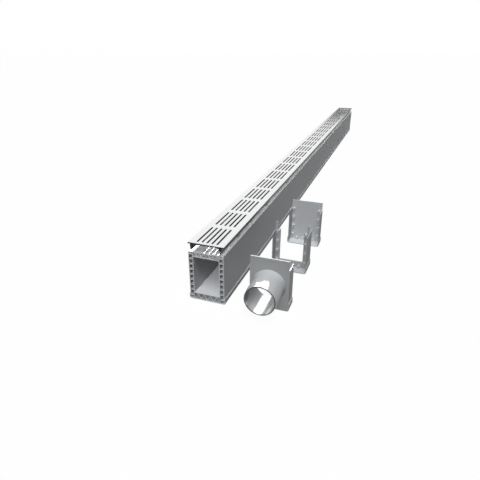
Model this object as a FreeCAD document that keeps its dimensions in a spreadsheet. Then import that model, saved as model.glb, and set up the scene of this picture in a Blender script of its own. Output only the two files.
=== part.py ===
import FreeCAD, Part
import Sketcher
import math
import os
import re

# A two metre length of shallow drainage channel with its slotted grate, and
# its outlet cap, joining frame and blank cap standing beside it.
# X runs across the channel, Y along it, Z up. The origin is the middle of
# the channel's underside, which is also the ground that the fittings stand on.

doc = FreeCAD.newDocument("ChannelDrain")

driving = [
    # extruded channel
    ("length", 2000, "length of the channel and of the grate"),
    ("width", 75, "channel, side face to side face"),
    ("height", 107.5, "channel, underside to top face"),
    ("wall", 10.2, "hollow side wall"),
    ("floorDepth", 15.5, "hollow floor"),
    ("roofDepth", 11, "hollow roof"),
    ("skin", 1.6, "skins of the hollow walls"),
    ("web", 1.3, "webs between the cells"),
    ("boreRound", 1.2, "inside corners of the waterway"),
    ("edgeRound", 0.5, "top outside edges"),
    ("footHeight", 12.5, "thicker foot along both sides"),
    ("footBulge", 1.6, "how far the foot stands out"),
    ("footRound", 3, "lower edges of the foot"),
    ("cellCount", 7, "cells in each side wall"),
    ("lowWeb", 9.1, "lowest web of a side wall above the underside"),
    ("topWeb", 16.1, "highest web of a side wall below the top"),
    ("floorTrusses", 4, "upright triangles in the floor"),
    ("roofTrusses", 6, "upright triangles in the roof"),
    ("inletCount", 8, "long openings in the roof under the grate"),
    ("inletBridge", 45, "roof left between two inlets, and at both ends"),
    ("inletWidth", 40, "inlet across the channel"),
    ("inletCorner", 8, "eased corner of an inlet"),
    # slotted grate
    ("grateWidth", 75, "plate of the grate"),
    ("grateThick", 2.5, "plate of the grate"),
    ("grateRise", 17, "underside of the plate above the channel"),
    ("groupCount", 22, "groups of slots along the grate"),
    ("rowCount", 5, "slots side by side in a group"),
    ("rowPitch", 10.32, "slots, centre to centre"),
    ("slotWidth", 4.2, "width of a slot"),
    ("slotBridge", 15.6, "metal left between two groups"),
    ("slotCorner", 1, "eased corner of a slot"),
    ("legSeat", 2.5, "inner face of a leg beyond the waterway's side"),
    ("ribWidth", 6.2, "round rib under the plate"),
    ("bladeThick", 2.4, "leg below the rib"),
    ("barb", 1.4, "hook of the leg, outwards"),
    ("barbHeight", 2.6, "hook of the leg"),
    ("legRise", 5, "underside of the legs between their tongues, above the channel"),
    ("tongueCount", 10, "tongues of each leg that reach into the clip chamber"),
    ("tongueLength", 16, "tongue along the leg"),
    ("clipDepth", 4.6, "floor of the clip chamber below the channel's top"),
    ("clipLip", 1.2, "skin over the clip chamber"),
    ("clipGap", 0.3, "play of a tongue in its slot and chamber"),
    # moulded fittings
    ("fitGap", 0.3, "play between the channel and a fitting"),
    ("shell", 1.8, "skirt of a fitting"),
    ("plate", 3, "end plate of a cap"),
    ("plateInset", 1, "upper part of the plate, narrower each side"),
    ("skirtDepth", 27.3, "skirt of a cap beyond its plate"),
    ("skirtDrop", 18.9, "top of the skirt below the channel's top"),
    ("pegGap", 0.8, "play of a square peg in its cell"),
    ("pegLength", 7, "peg beyond its plate"),
    ("frameWeb", 4, "web of the joining frame"),
    ("frameSkirt", 22, "skirt of the joining frame, each way"),
    ("postWidth", 5.2, "post above each arm of the joining frame"),
    ("spigot", 63, "outside of the outlet spigot"),
    ("spigotWall", 3.4, "wall of the outlet spigot"),
    ("spigotLength", 60.4, "outlet spigot beyond its plate"),
    ("spigotRise", 50.5, "spigot's axis above the channel's underside"),
    ("spigotFlare", 1.9, "spigot's root, larger all round"),
    ("flareLength", 12, "flared root along the axis"),
    ("spigotLead", 1.2, "spigot's mouth, smaller all round"),
    ("leadLength", 14, "tapered mouth along the axis"),
    # where the loose fittings stand
    ("besideChannel", 122.8, "line of the fittings from the channel's middle"),
    ("outletStand", 21, "outlet plate's face behind the channel's front end"),
    ("frameStand", 200, "joining frame's middle behind the front end"),
    ("blankStand", 357.3, "blank plate's outer face behind the front end"),
]

sheet = doc.addObject("Spreadsheet::Sheet", "Sizes")
for row, (alias, number, note) in enumerate(driving, start=1):
    sheet.set("A%d" % row, note)
    sheet.set("B%d" % row, str(number))
    sheet.setAlias("B%d" % row, alias)
doc.recompute()


def bound(formula):
    """The same formula with each size named as the sheet's."""
    return re.sub(r"[A-Za-z]\w*", lambda word: "Sizes." + word.group(0), formula)


def size(formula):
    return float(sheet.evalExpression(bound(formula)))


def newBody(label):
    body = doc.addObject("PartDesign::Body", label)
    body.Label = label
    return body


def newSketch(body, name, role, raised=None):
    """An empty sketch on one of the body's own planes, moved along its normal."""
    sketch = body.newObject("Sketcher::SketchObject", name)
    plane = [item for item in body.Origin.OriginFeatures if item.Role == role][0]
    sketch.AttachmentSupport = [(plane, "")]
    sketch.MapMode = "FlatFace"
    if raised:
        sketch.setExpression("AttachmentOffset.Base.z", bound(raised))
    return sketch


def hold(sketch, kind, formula, *where):
    """Adds a dimension and binds it to its formula."""
    index = sketch.addConstraint(Sketcher.Constraint(kind, *where, size(formula)))
    sketch.setExpression("Constraints[%d]" % index, bound(formula))


def steppedLoop(sketch, sides, rounds=None):
    """A closed outline of level and upright sides in turn, anticlockwise.

    sides gives the height of each level side and the place of each upright
    one, from a level side on. rounds gives the radius at the end of a side.
    """
    rounds = rounds or {}
    count = len(sides)
    place = [size(side) for side in sides]
    corners = []
    for i in range(count):
        after = place[(i + 1) % count]
        level = i % 2 == 0
        corners.append(FreeCAD.Vector(after if level else place[i], place[i] if level else after, 0))
    radius = [size(rounds[i]) if i in rounds else 0 for i in range(count)]
    run = []
    for i in range(count):
        direction = corners[i] - corners[i - 1]
        run.append(direction.multiply(1 / direction.Length))
    first = sketch.GeometryCount
    for i in range(count):
        start = corners[i - 1] + run[i] * radius[i - 1]
        end = corners[i] - run[i] * radius[i]
        sketch.addGeometry(Part.LineSegment(start, end))
    for i in range(count):
        line = first + i
        sketch.addConstraint(Sketcher.Constraint("Horizontal" if i % 2 == 0 else "Vertical", line))
        hold(sketch, "DistanceY" if i % 2 == 0 else "DistanceX", sides[i], -1, 1, line, 1)
    for i in range(count):
        line = first + i
        following = first + (i + 1) % count
        if i not in rounds:
            sketch.addConstraint(Sketcher.Constraint("Coincident", line, 2, following, 1))
            continue
        back = run[i] * radius[i]
        ahead = run[(i + 1) % count] * radius[i]
        centre = corners[i] - back + ahead
        opening = math.atan2(-ahead.y, -ahead.x)
        closing = math.atan2(back.y, back.x)
        leftTurn = back.cross(ahead).z > 0
        if not leftTurn:
            opening, closing = closing, opening
        if closing < opening:
            closing += 2 * math.pi
        circle = Part.Circle(centre, FreeCAD.Vector(0, 0, 1), radius[i])
        arc = sketch.addGeometry(Part.ArcOfCircle(circle, opening, closing))
        near, far = (1, 2) if leftTurn else (2, 1)
        sketch.addConstraint(Sketcher.Constraint("Tangent", line, 2, arc, near))
        sketch.addConstraint(Sketcher.Constraint("Tangent", arc, far, following, 1))
        hold(sketch, "Radius", rounds[i], arc)


def box(sketch, left, right, low, high, rounding=None):
    rounds = {i: rounding for i in range(4)} if rounding else None
    steppedLoop(sketch, [low, right, high, left], rounds)


def polygon(sketch, corners):
    """A closed outline of straight sides, each corner held by two formulas."""
    points = [FreeCAD.Vector(size(across), size(up), 0) for across, up in corners]
    first = sketch.GeometryCount
    count = len(points)
    for i in range(count):
        sketch.addGeometry(Part.LineSegment(points[i], points[(i + 1) % count]))
    for i in range(count):
        sketch.addConstraint(
            Sketcher.Constraint("Coincident", first + i, 2, first + (i + 1) % count, 1))
        hold(sketch, "DistanceX", corners[i][0], -1, 1, first + i, 1)
        hold(sketch, "DistanceY", corners[i][1], -1, 1, first + i, 1)


def disc(sketch, across, up, radius):
    centre = FreeCAD.Vector(size(across), size(up), 0)
    circle = sketch.addGeometry(Part.Circle(centre, FreeCAD.Vector(0, 0, 1), size(radius)))
    hold(sketch, "DistanceX", across, -1, 1, circle, 3)
    hold(sketch, "DistanceY", up, -1, 1, circle, 3)
    hold(sketch, "Radius", radius, circle)


def easedHole(sketch, across, width, start, end, corner):
    """A hole along the sketch's upright axis with its four corners cut off."""
    left, right = "%s - %s / 2" % (across, width), "%s + %s / 2" % (across, width)
    polygon(sketch, [
        (left + " + " + corner, start), (right + " - " + corner, start),
        (right, start + " + " + corner), (right, end + " - " + corner),
        (right + " - " + corner, end), (left + " + " + corner, end),
        (left, end + " - " + corner), (left, start + " + " + corner),
    ])


def pad(body, sketch, name, length, bothWays=False, backwards=False, draft=None):
    feature = body.newObject("PartDesign::Pad", name)
    feature.Profile = sketch
    feature.setExpression("Length", bound(length))
    feature.Midplane = bothWays
    feature.Reversed = backwards
    if draft:
        feature.TaperAngle = draft
    sketch.Visibility = False
    doc.recompute()
    return feature


def cut(body, sketch, name, length=None):
    """A pocket that has to take something away: through everything, or to a length."""
    before = body.Shape.Volume
    feature = body.newObject("PartDesign::Pocket", name)
    feature.Profile = sketch
    if length:
        feature.setExpression("Length", bound(length))
    else:
        feature.Type = "ThroughAll"
        feature.Midplane = True
    doc.recompute()
    if not body.Shape.Volume < before:
        raise RuntimeError(name + " cuts nothing")
    return feature


def axisOf(body, role):
    return [item for item in body.Origin.OriginFeatures if item.Role == role][0]


def bothSides(formula):
    """The formula as it is and its mirror image across the channel."""
    return formula, "-(%s)" % formula


boreHalf = "(width / 2 - wall)"
footHalf = "(width / 2 + footBulge)"
bladeIn = "(width / 2 - wall + legSeat)"
bladeOut = "(width / 2 - wall + legSeat + bladeThick)"
barbOut = "(width / 2 - wall + legSeat + bladeThick + barb)"
cellPitch = "((height - topWeb - lowWeb) / cellCount)"
inletPitch = "((length - inletBridge) / inletCount)"
groupPitch = "(length / groupCount)"


def cellRow(sketch, count, low, high, half):
    """Triangular cells between two skins: upright ones and, between them, hanging ones."""
    pitch = "(2 * %s / %s)" % (half, count)
    slope = "(web * 0.6 * 2 * (%s - %s) / %s)" % (high, low, pitch)
    number = int(size(count))
    for k in range(number):
        middle = "(%s * (%s - %s / 2))" % (pitch, k + 0.5, count)
        polygon(sketch, [
            ("%s - %s / 2 + web * 0.6" % (middle, pitch), low),
            ("%s + %s / 2 - web * 0.6" % (middle, pitch), low),
            (middle, "%s - %s" % (high, slope)),
        ])
    for k in range(1, number):
        middle = "(%s * (%s - %s / 2))" % (pitch, k, count)
        polygon(sketch, [
            ("%s + %s / 2 - web * 0.6" % (middle, pitch), high),
            ("%s - %s / 2 + web * 0.6" % (middle, pitch), high),
            (middle, "%s + %s" % (low, slope)),
        ])
    for sign in (1, -1):
        polygon(sketch, [
            ("%d * %s" % (sign, half), "%s + %s" % (low, slope)),
            ("%d * %s" % (sign, half), high),
            ("%d * (%s - %s / 2 + web * 0.6)" % (sign, half, pitch), high),
        ])


def tonguePlaces():
    """The middles of the clip tongues along the channel."""
    number = int(size("tongueCount"))
    return ["length * (%s / tongueCount - 0.5)" % (k + 0.5) for k in range(number)]


def makeChannel():
    """One hollow extrusion with open ends, and the clip slots and inlets cut in its roof."""
    body = newBody("channel_body")
    outline = newSketch(body, "ChannelOutline", "XZ_Plane")
    steppedLoop(
        outline,
        ["0", footHalf, "footHeight", "width / 2", "height",
         "-width / 2", "footHeight", "-" + footHalf],
        {0: "footRound", 1: "footBulge * 0.6", 2: "footBulge * 0.3", 3: "edgeRound",
         4: "edgeRound", 5: "footBulge * 0.3", 6: "footBulge * 0.6", 7: "footRound"})
    pad(body, outline, "Extrusion", "length", bothWays=True)

    bore = newSketch(body, "Waterway", "XZ_Plane")
    box(bore, "-" + boreHalf, boreHalf, "floorDepth", "height - roofDepth", "boreRound")
    cut(body, bore, "WaterwayCut")

    cells = newSketch(body, "WallCells", "XZ_Plane")
    inner, outer = boreHalf + " + skin", "width / 2 - skin"
    for side in (0, 1):
        left, right = sorted([bothSides(inner)[side], bothSides(outer)[side]], key=size)
        for k in range(int(size("cellCount"))):
            below = "lowWeb + %d * %s" % (k, cellPitch)
            box(cells, left, right, below + " + web / 2", "%s + %s - web / 2" % (below, cellPitch))
        box(cells, left, right, "height - topWeb + web / 2", "height - clipDepth - skin")
        left, right = sorted([bothSides(inner)[side], bothSides("width / 2")[side]], key=size)
        box(cells, left, right, "skin", "lowWeb - web / 2")
    cut(body, cells, "WallCellsCut")

    trusses = newSketch(body, "TrussCells", "XZ_Plane")
    cellRow(trusses, "floorTrusses", "skin", "(floorDepth - skin)", boreHalf)
    cellRow(trusses, "roofTrusses", "(height - roofDepth + skin)", "(height - skin)", boreHalf)
    cut(body, trusses, "TrussCellsCut")

    mouthIn, mouthOut = bladeIn + " - clipGap", bladeOut + " + clipGap"
    chamber = barbOut + " + clipGap"
    chambers = newSketch(body, "ClipChambers", "XZ_Plane")
    box(chambers, mouthIn, chamber, "height - clipDepth", "height - clipLip")
    box(chambers, "-(%s)" % chamber, "-(%s)" % mouthIn, "height - clipDepth", "height - clipLip")
    cut(body, chambers, "ClipChambersCut")

    mouths = newSketch(body, "ClipSlots", "XY_Plane", raised="height")
    for tongue in tonguePlaces():
        start, stop = tongue + " - tongueLength / 2 - clipGap", tongue + " + tongueLength / 2 + clipGap"
        box(mouths, mouthIn, mouthOut, start, stop)
        box(mouths, "-(%s)" % mouthOut, "-(%s)" % mouthIn, start, stop)
    cut(body, mouths, "ClipSlotsCut", "clipLip + clipGap")

    inlets = newSketch(body, "Inlets", "XY_Plane", raised="height")
    for k in range(int(size("inletCount"))):
        start = "inletBridge - length / 2 + %d * %s" % (k, inletPitch)
        easedHole(inlets, "0", "inletWidth", start,
                  "%s + %s - inletBridge" % (start, inletPitch), "inletCorner")
    cut(body, inlets, "InletsCut", "roofDepth + 1")
    return body


def makeGrate():
    """An extruded plate with two clip legs, punched with rows of slots."""
    body = newBody("slotted_grate")
    body.setExpression("Placement.Base.z", bound("height"))
    section = newSketch(body, "GrateSection", "XZ_Plane")
    top, foot, hook = "grateRise + grateThick", "-clipDepth", "barbHeight - clipDepth"
    steppedLoop(
        section,
        ["grateRise", bladeIn, foot, barbOut, hook, bladeOut, "grateRise", "grateWidth / 2",
         top, "-grateWidth / 2", "grateRise", "-" + bladeOut, hook, "-" + barbOut, foot,
         "-" + bladeIn],
        {7: "edgeRound", 8: "edgeRound"})
    pad(body, section, "GrateExtrusion", "length", bothWays=True)

    ribs = newSketch(body, "GrateRibs", "XZ_Plane")
    for across in bothSides(bladeIn):
        disc(ribs, across, "grateRise - ribWidth / 2 + clipGap", "ribWidth / 2")
    pad(body, ribs, "GrateRibsPad", "length", bothWays=True)

    spaces = newSketch(body, "TongueSpaces", "YZ_Plane")
    starts = ["-length / 2 - 1"] + [tongue + " + tongueLength / 2" for tongue in tonguePlaces()]
    stops = [tongue + " - tongueLength / 2" for tongue in tonguePlaces()] + ["length / 2 + 1"]
    for start, stop in zip(starts, stops):
        box(spaces, start, stop, "-clipDepth - 1", "legRise")
    cut(body, spaces, "TongueSpacesCut")

    slots = newSketch(body, "FirstSlots", "XY_Plane", raised="grateRise + grateThick")
    start = "slotBridge / 2 - length / 2"
    for k in range(int(size("rowCount"))):
        across = "(rowPitch * (%s - rowCount / 2))" % (k + 0.5)
        easedHole(slots, across, "slotWidth", start,
                  "%s + %s - slotBridge" % (start, groupPitch), "slotCorner")
    first = cut(body, slots, "FirstSlotsCut", "grateThick + clipGap")

    groups = body.newObject("PartDesign::LinearPattern", "SlotGroups")
    groups.Originals = [first]
    groups.Direction = (axisOf(body, "Y_Axis"), [""])
    groups.setExpression("Length", bound("length - " + groupPitch))
    groups.setExpression("Occurrences", bound("groupCount"))
    body.Tip = groups
    doc.recompute()
    return body


lift = "(fitGap + shell)"
skirtIn = "(width / 2 + fitGap)"
skirtOut = "(width / 2 + fitGap + shell)"
skirtFootIn = "(width / 2 + footBulge + fitGap)"
skirtFootOut = "(width / 2 + footBulge + fitGap + shell)"
shoulder = "(%s + footHeight + fitGap)" % lift
rim = "(%s + height - skirtDrop)" % lift
plateOut = "(width / 2 + fitGap + shell - plateInset)"


def skirtLoop(sketch):
    """The section of the skirt: a U that follows the channel's sides and foot."""
    steppedLoop(
        sketch,
        ["0", skirtFootOut, shoulder + " + shell", skirtOut, rim, skirtIn, shoulder, skirtFootIn,
         "shell", "-" + skirtFootIn, shoulder, "-" + skirtIn, rim, "-" + skirtOut,
         shoulder + " + shell", "-" + skirtFootOut],
        {0: "footRound + shell", 1: "shell", 14: "shell", 15: "footRound + shell",
         7: "footRound", 8: "footRound"})


def pegLoops(sketch):
    """Pegs for every second wall cell, and one for each upright triangle of the floor."""
    half = "(wall / 2 - skin - pegGap)"
    for across in bothSides("(width / 2 - wall / 2)"):
        for k in range(0, int(size("cellCount")), 2):
            up = "(%s + lowWeb + %s * %s)" % (lift, k + 0.5, cellPitch)
            box(sketch, across + " - " + half, across + " + " + half,
                up + " - " + half, up + " + " + half)
    for k in range(int(size("floorTrusses"))):
        across = "(2 * %s * (%s / floorTrusses - 0.5))" % (boreHalf, k + 0.5)
        up = "(%s + floorDepth / 3)" % lift
        box(sketch, across + " - " + half, across + " + " + half,
            up + " - " + half, up + " + " + half)


def capShell(body):
    """The shape that both caps share: plate from y = 0 on, skirt and pegs behind it."""
    face = newSketch(body, "Plate", "XZ_Plane")
    steppedLoop(
        face,
        ["0", skirtFootOut, shoulder + " + shell", skirtOut, rim, plateOut, lift + " + height",
         "-" + plateOut, rim, "-" + skirtOut, shoulder + " + shell", "-" + skirtFootOut],
        {0: "footRound + shell", 1: "shell", 10: "shell", 11: "footRound + shell"})
    pad(body, face, "PlatePad", "plate", backwards=True)
    skirt = newSketch(body, "Skirt", "XZ_Plane", raised="-plate")
    skirtLoop(skirt)
    pad(body, skirt, "SkirtPad", "skirtDepth", backwards=True)
    pegs = newSketch(body, "Pegs", "XZ_Plane", raised="-plate")
    pegLoops(pegs)
    pad(body, pegs, "PegsPad", "pegLength", backwards=True, draft=-3)


def makeOutletCap():
    """A cap with a round spigot, flared at its root and tapered at its mouth."""
    body = newBody("outlet_end_cap")
    body.setExpression("Placement.Base.x", bound("besideChannel"))
    body.setExpression("Placement.Base.y", bound("outletStand - length / 2"))
    capShell(body)
    profile = newSketch(body, "SpigotProfile", "YZ_Plane")
    axis = "(%s + spigotRise)" % lift
    inside = axis + " + spigot / 2 - spigotWall"
    polygon(profile, [
        ("plate / 2", inside),
        ("plate / 2", axis + " + spigot / 2 + spigotFlare"),
        ("0", axis + " + spigot / 2 + spigotFlare"),
        ("-flareLength", axis + " + spigot / 2"),
        ("leadLength - spigotLength", axis + " + spigot / 2"),
        ("-spigotLength", axis + " + spigot / 2 - spigotLead"),
        ("-spigotLength", inside),
    ])
    centreLine = profile.addGeometry(
        Part.LineSegment(FreeCAD.Vector(-1, size(axis), 0), FreeCAD.Vector(1, size(axis), 0)), True)
    profile.addConstraint(Sketcher.Constraint("Horizontal", centreLine))
    hold(profile, "DistanceX", "-1", -1, 1, centreLine, 1)
    hold(profile, "DistanceX", "1", -1, 1, centreLine, 2)
    hold(profile, "DistanceY", axis, -1, 1, centreLine, 1)
    spigot = body.newObject("PartDesign::Revolution", "Spigot")
    spigot.Profile = profile
    spigot.ReferenceAxis = (profile, ["Axis0"])
    spigot.Angle = 360
    doc.recompute()
    mouth = newSketch(body, "PlateHole", "XZ_Plane")
    disc(mouth, "0", axis, "spigot / 2 - spigotWall")
    cut(body, mouth, "PlateHoleCut", "plate")
    return body


def makeBlankCap():
    """The same cap with a closed plate, turned to face the other end."""
    body = newBody("blank_end_cap")
    capShell(body)
    body.Placement.Rotation = FreeCAD.Rotation(FreeCAD.Vector(0, 0, 1), 180)
    body.setExpression("Placement.Base.x", bound("besideChannel"))
    body.setExpression("Placement.Base.y", bound("blankStand - length / 2"))
    return body


def makeJoiningFrame():
    """A U-shaped frame that joins two channels: web, skirts and pegs both ways."""
    body = newBody("joining_frame")
    body.setExpression("Placement.Base.x", bound("besideChannel"))
    body.setExpression("Placement.Base.y", bound("frameStand - length / 2"))
    skirt = newSketch(body, "FrameSkirt", "XZ_Plane")
    skirtLoop(skirt)
    pad(body, skirt, "FrameSkirtPad", "frameWeb + 2 * frameSkirt", bothWays=True)

    postIn = "(width / 2 + fitGap + shell - plateInset - postWidth)"
    top = lift + " + height"
    band = lift + " + floorDepth"
    web = newSketch(body, "FrameWeb", "XZ_Plane")
    steppedLoop(
        web,
        ["shell / 2", skirtFootIn + " + shell / 2", shoulder + " + shell / 2",
         skirtIn + " + shell / 2", rim, plateOut, top, postIn, rim, boreHalf,
         band, "-" + boreHalf, rim, "-" + postIn, top, "-" + plateOut, rim,
         "-(%s + shell / 2)" % skirtIn, shoulder + " + shell / 2",
         "-(%s + shell / 2)" % skirtFootIn],
        {0: "footRound + shell / 2", 19: "footRound + shell / 2"})
    pad(body, web, "FrameWebPad", "frameWeb", bothWays=True)

    pegs = newSketch(body, "FramePegs", "XZ_Plane")
    pegLoops(pegs)
    pad(body, pegs, "FramePegsPad", "frameWeb + 2 * pegLength", bothWays=True)
    return body


pieces = [makeChannel(), makeGrate(), makeOutletCap(), makeJoiningFrame(), makeBlankCap()]
doc.recompute()

for item in doc.Objects:
    if "Invalid" in item.State or "Error" in item.State:
        raise RuntimeError("%s did not compute: %s" % (item.Name, item.State))

os.makedirs("parts", exist_ok=True)
for piece in pieces:
    shape = piece.Shape
    if shape.isNull() or not shape.isValid() or len(shape.Solids) != 1:
        raise RuntimeError(piece.Label + " is not one valid solid")
    shape.exportStep("parts/%s.step" % piece.Label)
    print("%-16s %8.1f cm3" % (piece.Label, shape.Volume / 1000))
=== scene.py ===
import math

import bmesh
import bpy
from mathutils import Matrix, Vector


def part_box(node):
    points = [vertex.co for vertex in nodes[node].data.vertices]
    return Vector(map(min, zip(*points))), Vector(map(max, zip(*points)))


# Looks, floor, light and camera for a length of drainage channel, its slotted
# grate and the three moulded fittings that stand beside it. Metres, Z up.

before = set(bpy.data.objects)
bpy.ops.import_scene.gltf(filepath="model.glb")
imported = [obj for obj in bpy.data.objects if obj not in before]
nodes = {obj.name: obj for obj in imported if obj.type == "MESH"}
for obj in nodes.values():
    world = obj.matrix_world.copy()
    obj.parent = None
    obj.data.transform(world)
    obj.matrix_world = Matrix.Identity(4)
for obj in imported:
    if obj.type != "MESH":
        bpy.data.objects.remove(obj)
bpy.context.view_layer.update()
print("frame loaded:", ", ".join(sorted(nodes)))


# shader wiring

class Wire:
    # one output of a node; arithmetic on it adds Math nodes
    def __init__(self, finish, socket):
        self.finish, self.socket = finish, socket

    def math(self, operation, *others, clamp=False):
        return self.finish.node("ShaderNodeMath", {"operation": operation, "use_clamp": clamp},
                                dict(enumerate((self,) + others)))

    def __add__(self, other):
        return self.math("ADD", other)

    def __sub__(self, other):
        return self.math("SUBTRACT", other)

    def __mul__(self, other):
        return self.math("MULTIPLY", other)

    def __rsub__(self, other):
        return (self * -1.0) + other

    def __gt__(self, other):
        return self.math("GREATER_THAN", other)

    def __lt__(self, other):
        return self.math("LESS_THAN", other)

    def __abs__(self):
        return self.math("ABSOLUTE")

    __radd__ = __add__
    __rmul__ = __mul__


class Finish:
    # a material or world under construction
    def __init__(self, owner):
        owner.use_nodes = True
        self.owner, self.tree = owner, owner.node_tree
        self.tree.nodes.clear()

    def node(self, kind, settings=None, inputs=None, output=0):
        made = self.tree.nodes.new(kind)
        for name, value in (settings or {}).items():
            setattr(made, name, value)
        for name, value in (inputs or {}).items():
            if isinstance(value, Wire):
                self.tree.links.new(value.socket, made.inputs[name])
            else:
                made.inputs[name].default_value = value
        return Wire(self, made.outputs[output]) if len(made.outputs) else None

    def along(self, axis, system="Object"):
        coordinates = self.node("ShaderNodeTexCoord", output=system)
        return self.node("ShaderNodeSeparateXYZ", {}, {0: coordinates}, axis)

    def noise(self, scale, stretch, detail, rough):
        coordinates = self.node("ShaderNodeTexCoord", output="Object")
        place = self.node("ShaderNodeMapping", {}, {"Vector": coordinates, "Scale": stretch})
        return self.node("ShaderNodeTexNoise", {},
                         {"Vector": place, "Scale": scale, "Detail": detail, "Roughness": rough})

    def ray(self, kind):
        # one for rays of this kind, nothing for others
        return self.node("ShaderNodeLightPath", output="Is %s Ray" % kind)

    def blend(self, factor, first, second):
        return self.node("ShaderNodeMix", {"data_type": "RGBA"},
                         {0: factor, 6: first, 7: second}, 2)

    def fade(self, value, start, end):
        # one up to the start, falling to nothing at the end
        return self.node("ShaderNodeMapRange", {"interpolation_type": "SMOOTHSTEP"},
                         {"Value": value, "From Min": start, "From Max": end,
                          "To Min": 1.0, "To Max": 0.0})

    def mottled(self, pattern, tone, spread, hue):
        # a grey that the pattern moves by its spread
        return self.blend(pattern, grey(tone - spread / 2, hue), grey(tone + spread / 2, hue))

    def bump(self, height, strength):
        return self.node("ShaderNodeBump", {},
                         {"Height": height, "Distance": 1.0, "Strength": strength})

    def surface(self, **values):
        shader = self.node("ShaderNodeBsdfPrincipled", {},
                           {name.replace("_", " "): value for name, value in values.items()})
        self.node("ShaderNodeOutputMaterial", {}, {"Surface": shader})
        return self.owner


def grey(level, hue=0.0):
    # a grey a touch warmer than neutral, or cooler where the hue is below zero
    return (level * (1 + hue), level, level * (1 - hue), 1.0)


def dress(name, finish):
    # gives a node of the frame its finish
    slots = nodes[name].data.materials
    if len(slots):
        for i in range(len(slots)):
            slots[i] = finish
    else:
        slots.append(finish)


# extruded channel; places are measured from its own box

profile = {
    "tone": 0.465,
    "mottle": 0.03,            # lightest less darkest
    "hue": -0.028,
    "roughness": 0.50,
    "uneven": 0.10,            # what the clouds change in the roughness
    "shine": 0.12,
    "index": 1.53,
    "bump": 0.8,
    # noises: scale, stretch, detail, roughness
    "clouds": (7.0, (1.0, 0.35, 1.0), 4.0, 0.6),
    "lines": (260.0, (1.0, 0.003, 1.0), 2.0, 0.6),   # drawn out along the channel
    "saw": (420.0, (0.35, 1.0, 2.2), 3.0, 0.7),
    "speckle": (1500.0, (1.0, 1.0, 1.0), 2.0, 0.5),
    "cloudShare": 0.85,        # of the mottle, with lines for the rest
    "sawShare": 0.6,           # of the cut's mottle, with speckle for the rest
    "dieLines": 0.00003,       # depth
    "sawMarks": 0.00004,
    # sawn ends
    "cutDepth": 0.0006,        # their look reaches this far in
    "cutTone": 0.69,
    "cutMottle": 0.05,
    "cutRougher": 0.25,
    # top
    "topDepth": 0.0003,        # its look reaches this far down
    "polished": (0.040, 0.055),  # from the front end: smooth up to here, like the rest from here on
    "polish": 0.09,
    # zones and their tones, most of them painted light or painted shade
    "insideHalf": 0.0278,      # half the waterway's width and a little more
    "waterway": (0.0135, 0.0975),  # its bottom and top
    "roofDepth": 0.011,        # down from the top, between the grate's legs
    "paintedShadeTone": 0.10,          # painted shade far inside, for the shade that the shadowless fill lamps don't cast
    "lit": (0.01, 0.24),       # from an end: full tone up to here, painted shade from here on
    # the same for the roof under the grate: full tone up to here, painted shade from here on
    "litRoof": (0.028, 0.050),
    "paintedLightLedgeTone": 0.54,         # painted light on the top outside the grate's legs
    "paintedShadeFootTone": 0.30,          # painted shade on the lower edge of the foot
    "foot": (0.0003, 0.0085),  # in from its side, up from the ground
    "paintedLightSillTone": 0.60,          # painted light on the waterway's floor at the ends
    "sillTop": 0.0165,
    "sill": (0.005, 0.10),     # from an end: full painted light up to here, plain from here on
    # painted shade in the cells of the walls and the floor
    "paintedShadeCellTone": 0.35,
    "cellsIn": 0.0031,         # the cells of the walls begin this far in from the foot's side
    "floorCells": (0.001, 0.0145),  # bottom and top of the cells in the floor
}


def fromEnds(make, name):
    # how far a point lies in from the nearer end of a long piece
    low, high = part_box(name)
    return (high[1] - low[1]) / 2 - abs(make.along("Y") - (low[1] + high[1]) / 2)


def profileZones(make, top, side, within):
    # where each tone lies on the channel, most of them painted light or painted shade
    across, height = abs(make.along("X")), make.along("Z")
    inside, outside = across < profile["insideHalf"], across > profile["insideHalf"]
    waterFrom, waterTo = profile["waterway"]
    cellsFrom, cellsTo = profile["floorCells"]
    deep = inside * (height < waterTo) * (height > waterFrom)
    under = inside * (height > top - profile["roofDepth"])
    return {
        # painted shade inside the waterway and on the roof under the grate, deepening away from the ends
        "paintedShadeTone": deep * (1 - make.fade(within, *profile["lit"]))
        + under * (1 - make.fade(within, *profile["litRoof"])),
        # painted light on the top outside the grate's legs
        "paintedLightLedgeTone": outside * (height > top - profile["topDepth"]),
        # painted shade along the lower edge of the foot
        "paintedShadeFootTone": (across > side - profile["foot"][0]) * (height < profile["foot"][1]),
        # painted light on the waterway's floor near the ends
        "paintedLightSillTone": inside * (height < profile["sillTop"]) * make.fade(within, *profile["sill"]),
        # painted shade in the cells of the walls and the floor
        "paintedShadeCellTone": outside * (across < side - profile["cellsIn"]) * (height < top - profile["topDepth"])
        + inside * (height > cellsFrom) * (height < cellsTo),
    }


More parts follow.
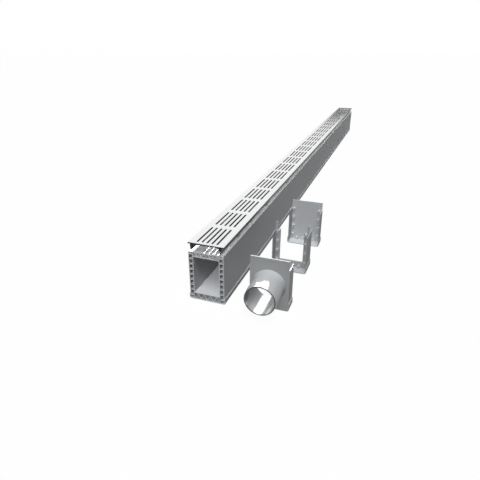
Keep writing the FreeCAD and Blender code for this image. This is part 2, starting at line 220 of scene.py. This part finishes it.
def profileFinish():
    make = Finish(bpy.data.materials.new("extruded pvc"))
    low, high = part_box("channel_body")
    front, side, top = low[1], high[0], high[2]
    within = fromEnds(make, "channel_body")
    ends = within < profile["cutDepth"]
    smooth = (make.along("Z") > top - profile["topDepth"]) \
        * make.fade(make.along("Y") - front, *profile["polished"]) * (1 - ends)
    clouds, lines, saw, speckle = (make.noise(*profile[kind])
                                   for kind in ("clouds", "lines", "saw", "speckle"))
    wall = make.mottled(clouds * profile["cloudShare"] + lines * (1 - profile["cloudShare"]),
                        profile["tone"], profile["mottle"], profile["hue"])
    cut = make.mottled(saw * profile["sawShare"] + speckle * (1 - profile["sawShare"]),
                       profile["cutTone"], profile["cutMottle"], profile["hue"])
    # lays each zone's tone over the wall's colour, painted light and painted shade among them
    for tone, zone in profileZones(make, top, side, within).items():
        wall = make.blend(zone, wall, grey(profile[tone], profile["hue"]))
    rough = profile["roughness"] + ends * profile["cutRougher"] + (clouds - 0.5) * profile["uneven"]
    relief = lines * profile["dieLines"] * (1 - ends) * (1 - smooth) + saw * profile["sawMarks"] * ends
    return make.surface(
        Base_Color=make.blend(ends, wall, cut),
        Roughness=rough * (1 - smooth) + smooth * profile["polish"],
        Specular_IOR_Level=profile["shine"],
        Normal=make.bump(relief, profile["bump"]), IOR=profile["index"])


dress("channel_body", profileFinish())
print("channel dressed")


# slotted grate

metal = {
    "shine": 0.2,
    "roughness": 0.36,
    "uneven": 0.10,            # what the brushing changes in the roughness
    "bump": 0.7,
    # noises: scale, stretch, detail, roughness
    "brushed": (1400.0, (1.0, 0.004, 1.0), 3.0, 0.6),
    "clouds": (9.0, (1.0, 0.4, 1.0), 3.0, 0.5),
    "saw": (700.0, (0.3, 1.0, 2.0), 2.0, 0.6),
    "brushing": 0.00002,       # depth
    "sawMarks": 0.00004,
    # the plate's top
    "faceDepth": 0.0004,       # its look reaches this far down
    "face": 0.875,
    "faceMottle": 0.05,
    "faceHue": -0.005,
    "faceRoughness": 0.10,
    # ribs, legs and edges: a dull mill finish, painted near black for the shade under the plate
    "shadedMill": 0.11,
    "shadedMillMottle": 0.033,
    "shadedMillHue": -0.01,
    "brushShare": 0.5,         # of the mottle, with clouds for the rest
    # tongues in the clip chambers
    "tongueRise": 0.0049,      # they show up to this above the channel
    "tongue": 0.40,
    # sawn ends, painted near black for shade
    "cutDepth": 0.0006,        # their look reaches this far in
    "shadedSawn": 0.02,
    "shadedSawnMottle": 0.012,
    "sawnRougher": 0.2,
    "metallic": {"shadedMill": 0.3, "shadedSawn": 0.1, "face": 1.0, "tongue": 0.6},
}


def grateFinish():
    make = Finish(bpy.data.materials.new("anodised aluminium"))
    height = make.along("Z")
    plateTop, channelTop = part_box("slotted_grate")[1][2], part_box("channel_body")[1][2]
    ends = fromEnds(make, "slotted_grate") < metal["cutDepth"]
    face = (height > plateTop - metal["faceDepth"]) * (1 - ends)
    tongue = (height < channelTop + metal["tongueRise"]) * (1 - ends)
    brushed, clouds, saw = (make.noise(*metal[kind]) for kind in ("brushed", "clouds", "saw"))
    top = make.mottled(brushed, metal["face"], metal["faceMottle"], metal["faceHue"])
    # the ribs, legs and edges: mill finish with painted shade
    shadedMill = make.mottled(brushed * metal["brushShare"] + clouds * (1 - metal["brushShare"]),
                        metal["shadedMill"], metal["shadedMillMottle"], metal["shadedMillHue"])
    # the sawn ends in painted shade
    shadedSawn = make.mottled(saw, metal["shadedSawn"], metal["shadedSawnMottle"], 0.0)
    body = make.blend(tongue, make.blend(face, shadedMill, top), grey(metal["tongue"]))
    metallic = metal["metallic"]["shadedMill"]
    for zone, kind in ((ends, "shadedSawn"), (face, "face"), (tongue, "tongue")):
        metallic = zone * (metal["metallic"][kind] - metal["metallic"]["shadedMill"]) + metallic
    rough = metal["roughness"] + (brushed - 0.5) * metal["uneven"] + ends * metal["sawnRougher"]
    relief = brushed * metal["brushing"] * face + saw * metal["sawMarks"] * ends
    return make.surface(
        Base_Color=make.blend(ends, body, shadedSawn),
        Metallic=metallic,
        Specular_IOR_Level=metal["shine"],
        Roughness=rough * (1 - face) + face * metal["faceRoughness"],
        Normal=make.bump(relief, metal["bump"]))


dress("slotted_grate", grateFinish())
print("grate dressed")


# moulded fittings; places are measured from each one's own box

moulded = {
    "tones": {"outlet_end_cap": 0.42, "joining_frame": 0.47, "blank_end_cap": 0.59},
    "polish": {"outlet_end_cap": 0.09, "joining_frame": 0.34, "blank_end_cap": 0.34},
    "relief": {"outlet_end_cap": 0.0, "joining_frame": 1.0, "blank_end_cap": 1.0},
    "mottle": 0.025,           # lightest less darkest
    "hue": -0.028,
    "uneven": 0.04,            # what the clouds change in the roughness
    "shine": 0.12,
    "index": 1.53,
    "bump": 0.6,
    # noises: scale, stretch, detail, roughness
    "clouds": (14.0, (1.0, 1.0, 0.6), 4.0, 0.6),
    "grain": (2200.0, (1.0, 1.0, 1.0), 2.0, 0.5),
    "cloudShare": 0.8,         # of the mottle, with grain for the rest
    "grainDepth": 0.000002,
    "waves": 0.00002,          # depth of the clouds
    "skirt": (0.0035, 0.0212),  # rougher and in painted shade outside: in from its side, down from the top
    "skirtShadeTone": 0.42,
    "skirtRoughness": 0.55,
    "edgeDepth": 0.0002,       # the top edge of a plate
    "edgeRoughness": 0.60,
    # the outlet's spigot
    "spigot": 0.0599,          # from its mouth to the plate
    # painted light: the spigot lighter than its plate
    "spigotLightTone": 0.54,
    "mouthDepth": 0.0004,      # its cut end, in painted shade
    "mouthShadeTone": 0.14,
    "axis": 0.0526,            # above the ground
    "bore": 0.0284,            # radius, with all that lies within
    "boreDark": (0.022, 0.065),  # full tone up to here, painted shade from here up
    "boreShadeTone": 0.09,
}


def spigotColour(make, colour, plain, aside, height):
    # the plate's colour, with the spigot's painted light over it, and painted shade in the bore and on
    # the mouth
    depth = make.along("Y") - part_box("outlet_end_cap")[0][1]
    rise = height - moulded["axis"]
    bore = (aside * aside + rise * rise) < moulded["bore"] ** 2
    # painted shade in the bore, darker towards its top
    dark = bore * (1 - make.fade(height, *moulded["boreDark"]))
    # painted light on the spigot
    colour = make.blend(depth < moulded["spigot"], colour, plain(moulded["spigotLightTone"]))
    colour = make.blend(dark, colour, grey(moulded["boreShadeTone"], moulded["hue"]))
    # painted shade on the spigot's mouth
    return make.blend(depth < moulded["mouthDepth"], colour, grey(moulded["mouthShadeTone"], moulded["hue"]))


def mouldedFinish(name, seed):
    make = Finish(bpy.data.materials.new("moulded pvc"))
    low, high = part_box(name)
    middle, half, top = (low[0] + high[0]) / 2, (high[0] - low[0]) / 2, high[2]
    aside, height = abs(make.along("X") - middle), make.along("Z")
    skirt = (aside > half - moulded["skirt"][0]) * (height < top - moulded["skirt"][1])
    edge = height > top - moulded["edgeDepth"]
    scale, *shape = moulded["clouds"]
    clouds, grain = make.noise(scale + seed, *shape), make.noise(*moulded["grain"])
    pattern = clouds * moulded["cloudShare"] + grain * (1 - moulded["cloudShare"])
    polish = moulded["polish"][name]

    def plain(tone):
        return make.mottled(pattern, tone, moulded["mottle"], moulded["hue"])
    # the skirts' outer sides in painted shade
    colour = make.blend(skirt, plain(moulded["tones"][name]), plain(moulded["skirtShadeTone"]))
    if name == "outlet_end_cap":
        colour = spigotColour(make, colour, plain, aside, height)
    relief = (grain * moulded["grainDepth"] + clouds * moulded["waves"]) * moulded["relief"][name]
    return make.surface(
        Base_Color=colour,
        Roughness=polish + (clouds - 0.5) * moulded["uneven"]
        + skirt * (moulded["skirtRoughness"] - polish) + edge * (moulded["edgeRoughness"] - polish),
        Specular_IOR_Level=moulded["shine"],
        Normal=make.bump(relief, moulded["bump"]), IOR=moulded["index"])


for seed, name in enumerate(moulded["tones"]):
    dress(name, mouldedFinish(name, seed))
print("fittings dressed")


# floor, surroundings and light

studio = {
    "floorSize": 60.0,
    "floorDrop": 0.0004,       # below the object's underside
    "floorTone": 0.12,         # what the floor throws back at the object
    "floorSeen": 0.95,         # what the camera sees of it, for the shadow
    "floorWhite": 0.90,        # how much plain white lies over that
    "ambient": 0.085,
    "wall": 0.11,              # tone of the wall that only mirrors see
    "wallTop": (0.145, 0.160),  # its height, as a slope: full up to here, none from here up
}
lamps = {                      # where each shines towards, strength, width in degrees, shadows
    "key": ((-0.24, 0.50, -1.0), 1.18, 28.0, True),
    "overhead": ((0.0, 0.0, -1.0), 1.70, 28.0, False),
    "front": ((0.0, 1.0, 0.0), 0.72, 28.0, False),
    "rear": ((0.75, -0.66, 0.0), 0.55, 28.0, False),
}
panels = {                     # white panels: the one piece that mirrors each, then the same
    "roof panel": ("channel_body", (0.383, -0.806, -0.451), 1.05, 13.0, True),
    "low cap panel": ("outlet_end_cap", (0.239, -0.832, -0.50), 13.0, 48.0, True),
    "high cap panel": ("outlet_end_cap", (-0.020, -0.720, -0.694), 10.0, 38.0, True),
}


def whiteRays(make, share):
    # how much plain white this ray is shown
    seen = (make.ray("Camera") + make.ray("Glossy")).math("ADD", make.ray("Transmission"), clamp=True)
    return seen * share


def makeFloor():
    mesh = bpy.data.meshes.new("floor")
    work = bmesh.new()
    bmesh.ops.create_grid(work, x_segments=1, y_segments=1, size=studio["floorSize"] / 2)
    bmesh.ops.translate(work, verts=work.verts, vec=(0.0, 0.0, -studio["floorDrop"]))
    work.to_mesh(mesh)
    work.free()
    floor = bpy.data.objects.new("floor", mesh)
    bpy.context.scene.collection.objects.link(floor)
    make = Finish(bpy.data.materials.new("pale floor"))
    tone = make.blend(make.ray("Camera"), grey(studio["floorTone"]), grey(studio["floorSeen"]))
    matt = make.node("ShaderNodeBsdfDiffuse", {}, {"Color": tone})
    white = make.node("ShaderNodeEmission", {}, {"Color": grey(1.0), "Strength": 1.0})
    mixed = make.node("ShaderNodeMixShader", {},
                      {0: whiteRays(make, studio["floorWhite"]), 1: matt, 2: white})
    make.node("ShaderNodeOutputMaterial", {}, {"Surface": mixed})
    mesh.materials.append(make.owner)


def makeSurroundings():
    world = bpy.data.worlds.new("studio")
    bpy.context.scene.world = world
    make = Finish(world)

    def backdrop(strength):
        return make.node("ShaderNodeBackground", {}, {"Color": grey(1.0), "Strength": strength})
    mixed = make.node("ShaderNodeMixShader", {},
                      {0: whiteRays(make, 1.0), 1: backdrop(studio["ambient"]), 2: backdrop(1.0)})
    # near the horizon only mirrors see a grey wall before the white
    low = make.fade(make.along("Z", "Generated"), *studio["wallTop"]) * make.ray("Glossy")
    mixed = make.node("ShaderNodeMixShader", {}, {0: low, 1: mixed, 2: backdrop(studio["wall"])})
    make.node("ShaderNodeOutputWorld", {}, {"Surface": mixed})


def addLamp(name, towards, strength, softness, shadow):
    lamp = bpy.data.lights.new(name, "SUN")
    lamp.energy, lamp.angle, lamp.use_shadow = strength, math.radians(softness), shadow
    holder = bpy.data.objects.new(name, lamp)
    holder.rotation_euler = Vector(towards).to_track_quat("-Z", "Y").to_euler()
    holder.visible_glossy = False   # mirrors see the panels and the surroundings
    bpy.context.scene.collection.objects.link(holder)
    return holder


def addPanel(name, piece, *settings):
    holder = addLamp(name, *settings)
    holder.visible_diffuse, holder.visible_glossy = False, True
    mirrors = bpy.data.collections.new("what mirrors the " + name)
    mirrors.objects.link(nodes[piece])
    holder.light_linking.receiver_collection = mirrors


makeFloor()
makeSurroundings()
for name, settings in lamps.items():
    addLamp(name, *settings)
for name, settings in panels.items():
    addPanel(name, *settings)
print("floor and light set")


# camera

view = {
    "place": (0.31016, -1.64332, 0.47274),
    "turn": -0.3563,           # radians, from straight along the channel to the right
    "down": 0.4405,            # radians below level
    "lens": 31.168,
    "sensor": 36.0,
    "reach": (0.01, 100.0),
}


def addCamera():
    camera = bpy.data.cameras.new("camera")
    camera.lens, camera.sensor_width = view["lens"], view["sensor"]
    camera.clip_start, camera.clip_end = view["reach"]
    holder = bpy.data.objects.new("camera", camera)
    holder.location = view["place"]
    holder.rotation_euler = (math.pi / 2 - view["down"], 0.0, -view["turn"])
    bpy.context.scene.collection.objects.link(holder)
    bpy.context.scene.camera = holder


addCamera()
bpy.context.scene.view_settings.view_transform = "Standard"
print("camera set")
